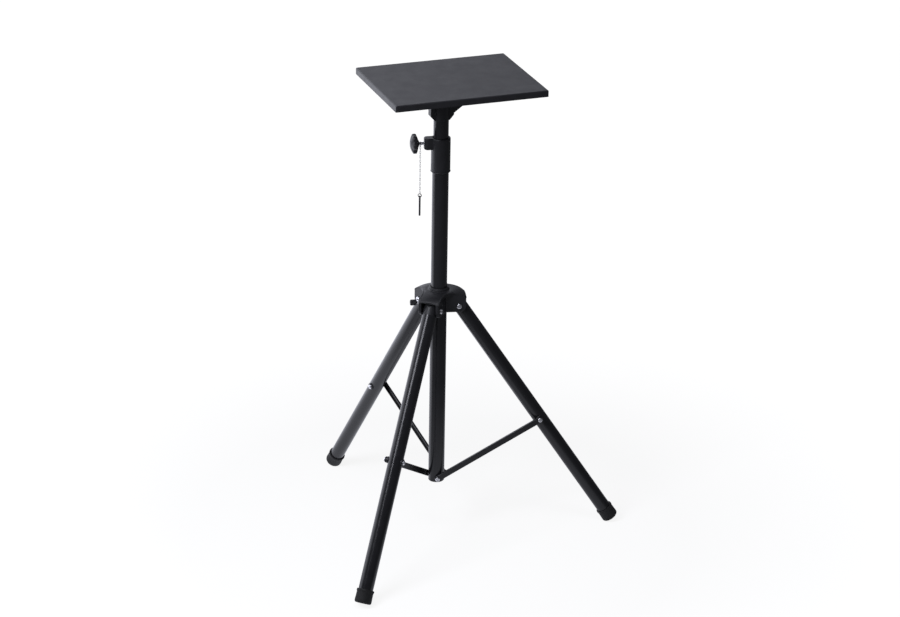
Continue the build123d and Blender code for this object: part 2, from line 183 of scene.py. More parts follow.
class StandSizes(bpy.types.PropertyGroup):
    """Sizes of the finer pieces"""

    mould_voxel: length_property("Mould detail", "Finest detail of the moulded plastic", 0.9)
    arm_width: length_property("Arm width", "Width of the hub's arms over their cheeks", 49.6)
    roof_sweep: length_property("Roof sweep", "Radius of the roof's sweep from arm to arm", 50)
    roof_root: length_property("Roof root", "Distance of the sweep's root from the axis", 25)
    roof_depth: length_property("Roof depth", "Depth of the sweep at its root", 9)
    lip_r: length_property("Roof lip", "Radius of the lip along the hub's roof", 1.3)
    collar_lip_r: length_property("Collar lip", "Radius of the collar's rolled rim", 1.04)
    step_gap: length_property("Step gap", "Gap between the hub's step and the column", 0.5)
    step_width: length_property("Step width", "Width of the hub's step", 2.1)
    step_rise: length_property("Step rise", "Height of the hub's step", 1.5)
    leg_screw_d: length_property("Leg screw", "Head diameter of the leg screws", 13)
    brace_screw_d: length_property("Brace screw", "Head diameter of the brace screws", 11)
    saddle_d: length_property("Saddle washer", "Diameter of the black washer on each leg", 17)
    thread_pitch: length_property("Thread pitch", "Pitch of the clamp and lock screws", 1.25)
    thread_depth: length_property("Thread depth", "Depth of those screws' threads", 0.6)
    knob_lobes: count_property("Knob lobes", "Lobes of the star knob", 6, least=3)
    knob_scallop: length_property("Knob scallop", "Depth of the hollows between lobes", 3.3)
    grip_flutes: count_property("Grip flutes", "Flutes of the lock grip", 20, least=6)
    link_count: count_property("Chain links", "Links of the pin's chain", 21, least=1)
    link_pitch: length_property("Link pitch", "Distance from one link to the next", 5.45)
    link_length: length_property("Link length", "Outer length of a link", 7.4)
    link_width: length_property("Link width", "Outer width of a link", 3.6)
    link_wire: length_property("Link wire", "Wire of a link", 0.9)
    ring_wire: length_property("Ring wire", "Wire of the ring on the clamp screw", 1.2)
    ring_bore: length_property("Ring bore", "Bore of the ring on the clamp screw", 12)
    split_wire: length_property("Split ring wire", "Wire of the split ring", 1.488)
    split_turn: angle_property("Split ring turn", "Turn of the split ring about the chain", 62)
    weld_pitch: length_property("Weld pitch", "Distance between the ripples of a weld", 1.2)
    weld_width: length_property("Weld width", "Width of a weld", 3.4)


class StandStage(bpy.types.PropertyGroup):
    """Camera, lights and surroundings"""

    camera_place: place_property(
        "Camera place", "Where the camera stands", (-2.0436, -5.6314, 3.1296))
    camera_aim: place_property(
        "Camera aim", "Point in the middle of the picture", (0.02496, -0.00918, 0.5737))
    camera_roll: angle_property(
        "Camera roll", "Turn of the camera about its own line of sight", 0.897)
    camera_lens: FloatProperty(
        name="Lens", description="Focal length over a 36 mm wide sensor", unit="CAMERA",
        default=112.0)
    light_aim: place_property("Light aim", "Point that the lights face", (0, 0, 0.5))
    key_place: place_property("Key place", "Where the soft box stands", (-1.8, -0.84, 2.17))
    key_size: panel_property("Key size", "Width and height of the soft box", 1.1, 0.9)
    key_radiance: level_property("Key light", "Brightness of the soft box on the left", 7.5)
    top_place: place_property("Top place", "Where the soft panel hangs", (-0.36, -1.0, 3.2))
    top_size: panel_property("Top size", "Width and height of the soft panel", 1.3, 0.8)
    top_radiance: level_property("Top light", "Brightness of the soft panel overhead", 3.0)
    tint: FloatVectorProperty(
        name="Light tint", description="Cool tint of the studio's light", subtype="COLOR",
        size=3, min=0.0, max=2.0, default=(0.95, 0.97, 1.07))
    ambient: level_property("Ambient", "Brightness of the room to matt surfaces", 0.06)
    room_dim: level_property("Dim side", "The room's dim side in polished surfaces", 0.09)
    room_bright: level_property("Bright side", "The room's bright side in polished surfaces", 1.5)
    bright_azimuth: angle_property("Bright azimuth", "Where the room's bright side lies", 118)


def colours():
    """The colours that are set now."""
    return bpy.context.scene.stand_colours


def sizes():
    """The sizes that are set now."""
    return bpy.context.scene.stand_sizes


def stage():
    """The stage's settings now."""
    return bpy.context.scene.stand_stage


def finish(slot):
    """The finish of a material slot."""
    return bpy.data.materials[f"{slot}_finish"]


def place_matrix(origin, x, y, z):
    """Frame with its origin and its three unit axes."""
    turn = Matrix((x, y, z)).transposed().to_4x4()
    return Matrix.Translation(origin) @ turn


def screw_place(origin, axis):
    """Frame whose Z runs along a level axis and whose X points down."""
    down = -UP
    return place_matrix(origin, down, axis.cross(down), axis)


def joint_place(name):
    """Origin and axis of a joint."""
    return Vector(JOINTS[name]["pos_m"]), Vector(JOINTS[name]["axis"]).normalized()


def outward_place(joint):
    """Frame on the column's axis whose Z runs out along a screw's joint."""
    origin, axis = joint_place(joint)
    return screw_place(Vector((0, 0, origin.z)), axis)


def leg_place(leg):
    """Frame at a leg's pivot whose Z runs up the leg and whose Y is its hinge axis."""
    origin, axis = joint_place(f"leg_{leg}_fold")
    splay = radians(JOINTS[f"leg_{leg}_fold"]["range_deg"][1])
    out = axis.cross(UP)
    along = UP * cos(splay) - out * sin(splay)
    return place_matrix(origin, axis.cross(along), axis, along)


def span(node, place=WORLD):
    """Low and high corner of a CAD node, measured in a frame."""
    back = place.inverted()
    points = [back @ vertex.co for vertex in NODES[node].data.vertices]
    low = Vector(min(point[k] for point in points) for k in range(3))
    high = Vector(max(point[k] for point in points) for k in range(3))
    return low, high


def middle(node):
    """Middle of a CAD node's box."""
    low, high = span(node)
    return (low + high) / 2


def ring(radius, z, count, shape=None):
    """Points round Z at a height; shape gives a factor on the radius for each angle."""
    points = []
    for i in range(count):
        angle = tau * i / count
        reach = radius * (shape(angle) if shape else 1.0)
        points.append(Vector((reach * cos(angle), reach * sin(angle), z)))
    return points


def hexagon(angle):
    """Radius of a hexagon whose flats are one unit from its middle."""
    return 1.0 / cos(angle % (pi / 3) - pi / 6)


def hollows(angle, count, fall):
    """Even hollows round a grip: one in the middle of each, and nothing half-way to the next."""
    return (0.5 + 0.5 * cos(count * angle)) ** fall


def loft(builder, rings, place=WORLD, ends=True):
    """Skins a row of rings into a mesh, and closes its ends or joins the last to the first."""
    loops = [[builder.verts.new(place @ point) for point in points] for points in rings]
    pairs = list(zip(loops, loops[1:]))
    if not ends:
        pairs.append((loops[-1], loops[0]))
    for first, second in pairs:
        for i in range(len(first)):
            j = (i + 1) % len(first)
            builder.faces.new((first[i], first[j], second[j], second[i]))
    if ends:
        for loop in (loops[0], loops[-1]):
            centre = builder.verts.new(sum((vert.co for vert in loop), Vector()) / len(loop))
            for i in range(len(loop)):
                builder.faces.new((loop[i], loop[(i + 1) % len(loop)], centre))


def turned(builder, profile, count, place=WORLD):
    """Turns a profile of radii and heights round Z."""
    loft(builder, [ring(radius, z, count) for radius, z in profile], place)


def rod(builder, place, radius, start, end, edge=0.3 * MM, count=SCREW_ROUND):
    """Round bar along a frame's Z with softened ends."""
    turned(builder, [
        (radius - edge, start), (radius, start + edge), (radius, end - edge), (radius - edge, end)],
        count, place)


def carried_side(last, along):
    """Carries a wire's side on to the next point without twisting it."""
    return (last - along * last.dot(along)).normalized()


def wire_loop(builder, path, wire_r, place=WORLD, count=8):
    """Round wire bent along a closed path."""
    rings = []
    side = None
    for i, point in enumerate(path):
        along = (path[(i + 1) % len(path)] - path[i - 1]).normalized()
        side = along.orthogonal().normalized() if side is None else carried_side(side, along)
        across = along.cross(side)
        rings.append([
            point + side * wire_r * cos(tau * k / count) + across * wire_r * sin(tau * k / count)
            for k in range(count)])
    loft(builder, rings, place, ends=False)


def mesh_of(builder, name):
    """Merges, turns outward and closes a mesh under construction."""
    bmesh.ops.remove_doubles(builder, verts=builder.verts, dist=SAME_POINT)
    bmesh.ops.recalc_face_normals(builder, faces=builder.faces)
    mesh = bpy.data.meshes.new(name)
    builder.to_mesh(mesh)
    builder.free()
    return mesh


def add_object(name, mesh):
    """An object of a mesh, at the origin."""
    shown = bpy.data.objects.new(name, mesh)
    bpy.context.scene.collection.objects.link(shown)
    return shown


def add_piece(name, builder, body, slot, nodes=(), sharp=32):
    """Finishes a piece: smooth faces, its material, its body and the nodes it stands for."""
    mesh = mesh_of(builder, name)
    mesh.shade_smooth()
    mesh.set_sharp_from_angle(angle=radians(sharp))
    mesh.materials.append(finish(slot))
    shown = add_object(name, mesh)
    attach(shown, body)
    if nodes:
        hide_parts(*nodes)


def evaluated_mesh(shown):
    """Plain mesh of an object with its modifiers carried out."""
    bpy.context.view_layer.update()
    graph = bpy.context.evaluated_depsgraph_get()
    return bpy.data.meshes.new_from_object(shown.evaluated_get(graph))


def add_node(tree, kind, inputs=None, **settings):
    """Adds a node; an input takes a plain value or the socket that feeds it."""
    node = tree.nodes.new(kind)
    for name, value in settings.items():
        setattr(node, name, value)
    for name, value in (inputs or {}).items():
        if isinstance(value, bpy.types.NodeSocket):
            tree.links.new(value, node.inputs[name])
        else:
            node.inputs[name].default_value = value
    return node


def reckon(tree, operation, *values):
    """Result of a sum on sockets and plain numbers."""
    return add_node(
        tree, "ShaderNodeMath", dict(enumerate(values)), operation=operation).outputs[0]


def ramp(tree, value, start, end, first=0.0, last=1.0, shape="LINEAR"):
    """Goes from the first to the last level while a value goes from start to end."""
    return add_node(tree, "ShaderNodeMapRange", {
        "Value": value, "From Min": start, "From Max": end, "To Min": first, "To Max": last},
        interpolation_type=shape).outputs["Result"]


def blend_levels(tree, factor, first, second):
    """Blend of two levels, each a socket or a plain number."""
    return add_node(tree, "ShaderNodeMix", {0: factor, 2: first, 3: second}).outputs[0]


def blend_colours(tree, factor, first, second):
    """Blend of two colours, each a socket or a plain colour."""
    return add_node(
        tree, "ShaderNodeMix", {0: factor, 6: first, 7: second}, data_type="RGBA").outputs[2]


def noise(tree, where, scale, **inputs):
    """Soft noise on a place."""
    return add_node(
        tree, "ShaderNodeTexNoise", {"Vector": where, "Scale": scale, **inputs}).outputs["Fac"]


def new_group(name, kind, inputs, outputs):
    """An empty node group with named sockets, its input sockets and its output node."""
    group = bpy.data.node_groups.new(name, kind)
    for way, sockets in (("INPUT", inputs), ("OUTPUT", outputs)):
        for label, socket in sockets.items():
            group.interface.new_socket(label, in_out=way, socket_type=f"NodeSocket{socket}")
    return group, group.nodes.new("NodeGroupInput").outputs, group.nodes.new("NodeGroupOutput")


def grain_group():
    """Fine surface grain: its height, and broad soft patches of tone."""
    group, given, out = new_group(
        "surface_grain", "ShaderNodeTree",
        {"Vector": "Vector", "Scale": "Float"}, {"Height": "Float", "Patches": "Float"})
    fine = noise(group, given["Vector"], scale=given["Scale"], Detail=3.0)
    broad = noise(group, given["Vector"], scale=34.0, Detail=4.0, Roughness=0.6)
    group.links.new(fine, out.inputs["Height"])
    group.links.new(ramp(group, broad, start=0.32, end=0.68), out.inputs["Patches"])
    return group


def scuff_group():
    """Thin rubbed marks that run up and down a tube."""
    group, given, out = new_group(
        "rubbed_marks", "ShaderNodeTree",
        {"Vector": "Vector", "Scale": "Float", "Amount": "Float"}, {"Mask": "Float"})
    stretch = add_node(group, "ShaderNodeMapping", {
        "Vector": given["Vector"], "Scale": (1.0, 1.0, 0.06)})
    lines = noise(group, stretch.outputs["Vector"], scale=given["Scale"], Detail=5.0)
    patches = noise(group, given["Vector"], scale=11.0, Detail=2.0)
    both = reckon(
        group, "MULTIPLY", ramp(group, lines, start=0.6, end=0.72),
        ramp(group, patches, start=0.5, end=0.66))
    group.links.new(reckon(group, "MULTIPLY", both, given["Amount"]), out.inputs["Mask"])
    return group


def toned(colour, gain, lift=0.0):
    """A colour made paler or darker, no brighter than white."""
    return (*[min(1.0, value * gain + lift) for value in colour], 1.0)


def surface_finish(slot, grain, marks, grain_scale, grain_depth, smooth, rough, tone,
                   mark_scale=260.0, mark_amount=0.5, metallic=0.0):
    """A finish with grain in its surface, patches in its gloss and tone, and rubbed marks."""
    material = bpy.data.materials.new(f"{slot}_finish")
    material.use_nodes = True
    tree = material.node_tree
    shader = tree.nodes["Principled BSDF"].inputs
    shader["Metallic"].default_value = metallic
    base = getattr(colours(), slot)
    where = add_node(tree, "ShaderNodeTexCoord").outputs["Object"]
    surface = add_node(tree, "ShaderNodeGroup", node_tree=grain)
    rubbed = add_node(tree, "ShaderNodeGroup", node_tree=marks)
    for group in (surface, rubbed):
        tree.links.new(where, group.inputs["Vector"])
    surface.inputs["Scale"].default_value = grain_scale
    rubbed.inputs["Scale"].default_value = mark_scale
    rubbed.inputs["Amount"].default_value = mark_amount
    patches = surface.outputs["Patches"]
    mask = rubbed.outputs["Mask"]
    shade = blend_colours(tree, patches, toned(base, 1 - tone), toned(base, 1 + tone))
    worn = blend_colours(tree, mask, shade, toned(base, RUBBED_GAIN, RUBBED_LIFT))
    tree.links.new(worn, shader["Base Color"])
    gloss = ramp(tree, patches, start=0.0, end=1.0, first=smooth, last=rough)
    dull = reckon(tree, "MULTIPLY_ADD", mask, RUBBED_DULL, gloss)
    tree.links.new(dull, shader["Roughness"])
    bump = add_node(tree, "ShaderNodeBump", {
        "Strength": 0.5, "Distance": grain_depth * MM, "Height": surface.outputs["Height"]})
    tree.links.new(bump.outputs["Normal"], shader["Normal"])


class STAND_OT_finishes(bpy.types.Operator):
    """Gives every CAD node the finish of its slot"""

    bl_idname = "stand.finishes"
    bl_label = "Finishes"

    def execute(self, context):
        grain = grain_group()
        marks = scuff_group()
        for slot, look in FINISHES.items():
            surface_finish(slot, grain, marks, **look)
        for node, shown in NODES.items():
            shown.data.materials.clear()
            shown.data.materials.append(finish(slot_of(node)))
        return {"FINISHED"}


def geometry_tree(name, inputs):
    """An empty geometry tree with named inputs, its input sockets and its output node."""
    return new_group(name, "GeometryNodeTree", inputs, {"Geometry": "Geometry"})


def end_tree(tree, given, out, geometry):
    """Ends a geometry tree in real faces with the finish that it was given."""
    solid = add_node(tree, "GeometryNodeRealizeInstances", {"Geometry": geometry})
    done = add_node(tree, "GeometryNodeSetMaterial", {
        "Geometry": solid.outputs["Geometry"], "Material": given["Finish"]})
    tree.links.new(done.outputs["Geometry"], out.inputs["Geometry"])
    return tree


def even_line(tree, edges, step):
    """Bare edges made a curve with evenly spaced points."""
    path = add_node(tree, "GeometryNodeMeshToCurve", {"Mesh": edges})
    return add_node(tree, "GeometryNodeResampleCurve", {
        "Curve": path.outputs["Curve"], "Length": step}, mode="LENGTH").outputs["Curve"]


def grow(builder, tree, seed, values):
    """Runs a geometry tree on a seed mesh and adds its plain mesh to one under construction."""
    shown = add_object("seed", seed)
    growth = shown.modifiers.new("growth", "NODES")
    growth.node_group = tree
    for socket in tree.interface.items_tree:
        if socket.in_out == "INPUT" and socket.name in values:
            growth[socket.identifier] = values[socket.name]
    grown = evaluated_mesh(shown)
    shown.modifiers.remove(growth)
    bpy.data.objects.remove(shown)
    if not grown.polygons:
        raise RuntimeError(f"{tree.name} made nothing")
    builder.from_mesh(grown)


def place_seed(places):
    """Mesh of loose points, each with the way it aims."""
    mesh = bpy.data.meshes.new("places")
    mesh.from_pydata([spot for spot, aim in places], [], [])
    aims = mesh.attributes.new("aim", "FLOAT_VECTOR", "POINT")
    for item, (spot, aim) in zip(aims.data, places):
        item.vector = aim
    return mesh


def lip_tree():
    """Runs a round lip along every edge of a seed."""
    tree, given, out = geometry_tree("lip_along_edges", {
        "Edges": "Geometry", "Radius": "Float", "Step": "Float", "Finish": "Material"})
    outline = add_node(tree, "GeometryNodeCurvePrimitiveCircle", {
        "Resolution": 10, "Radius": given["Radius"]})
    lip = add_node(tree, "GeometryNodeCurveToMesh", {
        "Curve": even_line(tree, given["Edges"], given["Step"]),
        "Profile Curve": outline.outputs["Curve"], "Fill Caps": True})
    return end_tree(tree, given, out, lip.outputs["Mesh"])


class STAND_OT_mouldings(bpy.types.Operator):
    """Softens the hub and the collar as plastic leaves its mould, and sweeps and lips the roof"""

    bl_idname = "stand.mouldings"
    bl_label = "Hub and collar"

    overhead = UP * 2  # where the rays start that look down on the roof
    dome_reaches = (28 * MM, 42 * MM, 56 * MM)  # where the roof's height is measured
    roof_over_pivot = 14 * MM  # the roof lies higher above the legs' pivots than this
    edge_search = (8 * MM, 40 * MM)  # how far out the edge of an arm's roof is looked for
    edge_halvings = 14  # steps of that search
    edge_inset = 0.4 * MM  # how far inside that edge the lip runs
    arm_steps = 36  # round an arm's end
    bay_steps = 24  # along the sweep from one arm to the next
    bay_parts = (0.0, 0.04, 0.3, 0.65, 1.0)  # of the way from the sweep's rim to its root
    bay_sink = 0.15 * MM  # how far the sweep lies under the dome
    bay_drop = 1.6 * MM  # how far its rim rolls down
    lip_sink = 0.8 * MM  # how far the lip's middle lies under the dome
    lip_step = 1.5 * MM  # distance between the lip's points
    step_sink = 0.6 * MM  # how far the step goes down into the hub's ring
    step_edges = (0.4 * MM, 0.5 * MM)  # softening of the step inside and outside
    rim_inset, rim_rise = 0.3, 2.0  # of the collar's rim, in radii of the rim

    def execute(self, context):
        hub = self.soften("hub", passes=5)
        self.add_roof(hub)
        self.add_step(hub)
        add_piece("hub_moulding", hub, "hub", "black_plastic", ("hub",), sharp=70)
        collar = self.soften("top_collar", passes=9)
        self.add_rim(collar)
        add_piece("collar_moulding", collar, "column", "black_plastic", ("top_collar",), sharp=70)
        return {"FINISHED"}

    def soften(self, node, passes):
        """A copy of a node with its edges rounded."""
        builder = bmesh.new()
        builder.from_mesh(NODES[node].data)
        copy = add_object("blank", mesh_of(builder, "blank"))
        even = copy.modifiers.new("even", "REMESH")
        even.mode = "VOXEL"
        even.voxel_size = sizes().mould_voxel
        soft = copy.modifiers.new("soft", "SMOOTH")
        soft.factor = 0.5
        soft.iterations = passes
        builder = bmesh.new()
        builder.from_mesh(evaluated_mesh(copy))
        bpy.data.objects.remove(copy)
        return builder

    def add_roof(self, hub):
        """Sweeps the hub's roof from arm to arm, and runs one lip all round it."""
        solid = BVHTree.FromPolygons(
            [vertex.co for vertex in NODES["hub"].data.vertices],
            [face.vertices for face in NODES["hub"].data.polygons])
        arms = [joint_place(f"leg_{leg}_fold")[1].cross(UP) for leg in LEGS]
        dome = self.dome(solid, arms[0])
        corner = sizes().arm_width / 2 / sin(pi / 3)
        arm_end = corner / 2 + sizes().roof_sweep / sqrt(3)
        rim = []
        for arm in arms:
            bay = self.bay_outline(Matrix.Rotation(pi / 3, 3, "Z") @ arm, corner)
            loft(hub, [self.bay_section(dome, spot) for spot in bay])
            rim += self.arm_outline(solid, arm, arm_end) + bay
        count = len(rim)
        seed = bpy.data.meshes.new("roof_rim")
        seed.from_pydata(
            [Vector((spot.x, spot.y, dome(spot.length) - self.lip_sink)) for spot in rim],
            [(i, (i + 1) % count) for i in range(count)], [])
        grow(hub, lip_tree(), seed, {
            "Radius": sizes().lip_r, "Step": self.lip_step, "Finish": finish("black_plastic")})

    def dome(self, solid, arm):
        """Height of the roof at any distance from the column, from three points on an arm."""
        reaches = self.dome_reaches
        heights = Vector(
            solid.ray_cast(arm * reach + self.overhead, -UP)[0].z for reach in reaches)
        powers = Matrix([(1, reach ** 2, reach ** 4) for reach in reaches])
        level, second, fourth = powers.inverted() @ heights
        return lambda reach: level + second * reach ** 2 + fourth * reach ** 4

    def arm_outline(self, solid, arm, start):
        """Points round the end of an arm's roof, from its one side to the other."""
        floor = joint_place("leg_1_fold")[0].z + self.roof_over_pivot
        points = []
        for i in range(self.arm_steps + 1):
            way = Matrix.Rotation(pi * (i / self.arm_steps - 0.5), 3, "Z") @ arm
            near, far = self.edge_search
            for halving in range(self.edge_halvings):
                half = (near + far) / 2
                spot = solid.ray_cast(arm * start + way * half + self.overhead, -UP)[0]
                if spot and spot.z > floor:
                    near = half
                else:
                    far = half
            points.append(arm * start + way * (near - self.edge_inset))
        return points

    def bay_outline(self, between, corner):
        """Points along the sweep's rim from one arm to the next."""
        sweep = sizes().roof_sweep
        points = []
        for i in range(self.bay_steps + 1):
            turn = Matrix.Rotation(pi + pi / 3 * (0.5 - i / self.bay_steps), 3, "Z")
            points.append(between * (corner + sweep / sin(pi / 3)) + turn @ between * sweep)
        return points

    def bay_section(self, dome, rim):
        """Section of the sweep from a point of its rim to its root."""
        root = rim.normalized() * sizes().roof_root
        section = []
        for part in self.bay_parts:
            spot = rim.lerp(root, part)
            section.append(Vector((spot.x, spot.y, dome(spot.length) - self.bay_sink)))
        section[0].z -= self.bay_drop
        under = section[-1].z - sizes().roof_depth
        return [*section, Vector((root.x, root.y, under)), Vector((rim.x, rim.y, under + MM))]

    def add_step(self, hub):
        """The low step on the hub's ring, close round the column."""
        base = span("hub")[1].z - self.step_sink
        top = span("hub")[1].z + sizes().step_rise
        inner = span("column_tube")[1].x + sizes().step_gap
        outer = inner + sizes().step_width
        inside, outside = self.step_edges
        profile = [
            (inner, base), (outer, base), (outer, top - outside), (outer - outside, top),
            (inner + inside, top), (inner, top - inside)]
        loft(hub, [ring(radius, z, ROUND) for radius, z in profile], ends=False)

    def add_rim(self, collar):
        """The rolled rim at the collar's lower end."""
        low, high = span("top_collar")
        rim_r = sizes().collar_lip_r
        reach = high.y - self.rim_inset * rim_r
        wire_loop(collar, ring(reach, low.z + self.rim_rise * rim_r, ROUND), rim_r)


class STAND_OT_knobs(bpy.types.Operator):
    """Turns the clamp's star knob and the fluted grip of the hub's lock"""

    bl_idname = "stand.knobs"
    bl_label = "Knob and grip"

    knob_r, knob_length = 23.0, 20.5  # of the knob that the profile draws
    knob_profile = (
        (6.2, 0), (6.9, 0.3), (7.2, 1.0), (8.2, 1.7), (11, 2.5), (15, 3.6), (19, 4.9), (21.4, 5.9),
        (22.5, 6.6), (22.95, 7.6), (23, 9), (23, 11.6), (22.9, 13), (22.4, 14), (21.4, 14.9),
        (19.5, 16), (17, 17.2), (14.4, 18.2), (12.4, 18.8), (11.9, 18.6), (11.4, 18.6),
        (10.9, 19.1), (8, 19.9), (5, 20.3), (2.2, 20.45))
    scallop_start, scallop_full = 11.5, 20.0  # radii where the hollows begin and are deepest
    scallop_fall = 1.5  # how narrow the hollows are
    knob_steps = 96  # points round the knob
    grip_profile = (  # radius and height as shares of the grip's, and share of the flutes' depth
        (0.55, 0.0, 0), (0.82, 0.0, 0), (0.93, 0.04, 0), (0.98, 0.12, 0.4), (1.0, 0.2, 1),
        (1.0, 0.78, 1), (0.98, 0.87, 0.5), (0.93, 0.94, 0), (0.84, 0.985, 0), (0.62, 1.0, 0),
        (0.58, 0.97, 0), (0.3, 0.965, 0))
    flute_depth = 0.085  # as a share of the grip's radius
    flute_fall = 0.7  # how narrow the flutes are
    grip_steps = 120  # points round the grip

    def execute(self, context):
        self.star_knob()
        self.lock_grip()
        return {"FINISHED"}

    def star_knob(self):
        """The clamp's knob, with a smooth fall into the hollows between its lobes."""
        place = outward_place("clamp_turn")
        low, high = span("clamp_knob", place)
        scale = (high.z - low.z) / self.knob_length
        lobes = sizes().knob_lobes
        rings = []
        for radius, height in self.knob_profile:
            part = (radius - self.scallop_start) / (self.scallop_full - self.scallop_start)
            part = min(1.0, max(0.0, part))
            depth = sizes().knob_scallop * part * part * (3 - 2 * part)
            reach = radius / self.knob_r * max(high.x, high.y)
            z = low.z + height * scale
            rings.append(ring(reach, z, self.knob_steps, lambda angle: 1.0 - (
                depth / reach * hollows(angle, lobes, self.scallop_fall))))
        builder = bmesh.new()
        loft(builder, rings, place)
        add_piece("star_knob", builder, "clamp", "black_plastic", ("clamp_knob",), sharp=50)

    def lock_grip(self):
        """The small round grip of the lock screw."""
        place = outward_place("hub_lock_turn")
        low, high = span("hub_lock_grip", place)
        reach = max(high.x, high.y)
        flutes = sizes().grip_flutes
        rings = []
        for radius, height, cut in self.grip_profile:
            z = low.z + height * (high.z - low.z)
            rings.append(ring(reach * radius, z, self.grip_steps, lambda angle: 1.0 - (
                self.flute_depth * cut * hollows(angle, flutes, self.flute_fall))))
        builder = bmesh.new()
        loft(builder, rings, place)
        add_piece("lock_grip", builder, "hub_lock", "black_plastic", ("hub_lock_grip",), sharp=40)


class STAND_OT_threads(bpy.types.Operator):
    """Cuts the threads of the clamp screw and the hub's lock screw"""

    bl_idname = "stand.threads"
    bl_label = "Threads"

    turn_steps = 8  # rings to a turn of the thread
    round_steps = 20  # points to a ring

    def execute(self, context):
        self.thread("clamp_screw", "clamp_thread", "clamp", "clamp_turn")
        self.thread("hub_lock_screw", "lock_thread", "hub_lock", "hub_lock_turn")
        return {"FINISHED"}

    def thread(self, node, name, body, joint):
        """A screw with a thread from end to end in place of a plain one."""
        place = outward_place(joint)
        low, high = span(node, place)
        radius = max(high.x, high.y)
        pitch = sizes().thread_pitch
        depth = sizes().thread_depth
        steps = self.turn_steps * int((high.z - low.z) / pitch)
        rings = [ring(radius - depth, low.z, self.round_steps)]
        for i in range(1, steps):
            z = low.z + (high.z - low.z) * i / steps
            rings.append(ring(1.0, z, self.round_steps, lambda angle: radius - depth * abs(
                2 * ((z / pitch - angle / tau) % 1.0) - 1)))
        rings.append(ring(radius - depth, high.z, self.round_steps))
        builder = bmesh.new()
        loft(builder, rings, place)
        add_piece(name, builder, body, "zinc", (node,), sharp=60)


def screw_head():
    """Button head one unit across, standing on its seat, with a hexagon socket."""
    button = [
        (0.47, 0.0), (0.5, 0.03), (0.5, 0.09), (0.485, 0.15), (0.445, 0.215), (0.385, 0.265),
        (0.32, 0.295), (0.262, HEAD_RISE)]
    socket = [(0.212, 0.306), (0.2, 0.285), (0.2, 0.12), (0.13, 0.09)]
    rings = [ring(radius, z, SCREW_ROUND) for radius, z in button]
    rings += [ring(radius, z, SCREW_ROUND, hexagon) for radius, z in socket]
    builder = bmesh.new()
    loft(builder, rings)
    return builder


def saddle_washer():
    """Round washer one unit across with soft edges."""
    builder = bmesh.new()
    turned(builder, [
        (0.46, -0.15), (0.5, -0.12), (0.5, 0.06), (0.475, 0.105), (0.42, 0.125), (0.3, 0.125)],
        SADDLE_ROUND)
    return builder


def screw_tree():
    """Sets a shape on each place, turned to the place's own aim and scaled to a diameter."""
    tree, given, out = geometry_tree("set_on_places", {
        "Places": "Geometry", "Shape": "Object", "Diameter": "Float", "Finish": "Material"})
    shape = add_node(tree, "GeometryNodeObjectInfo", {"Object": given["Shape"]})
    aim = add_node(
        tree, "GeometryNodeInputNamedAttribute", {"Name": "aim"}, data_type="FLOAT_VECTOR")
    turn = add_node(tree, "FunctionNodeAlignRotationToVector", {
        "Vector": aim.outputs["Attribute"]}, axis="Z")
    size = add_node(tree, "ShaderNodeCombineXYZ", {axis: given["Diameter"] for axis in "XYZ"})
    placed = add_node(tree, "GeometryNodeInstanceOnPoints", {
        "Points": given["Places"], "Instance": shape.outputs["Geometry"],
        "Rotation": turn.outputs["Rotation"], "Scale": size.outputs["Vector"]})
    return end_tree(tree, given, out, placed.outputs["Instances"])


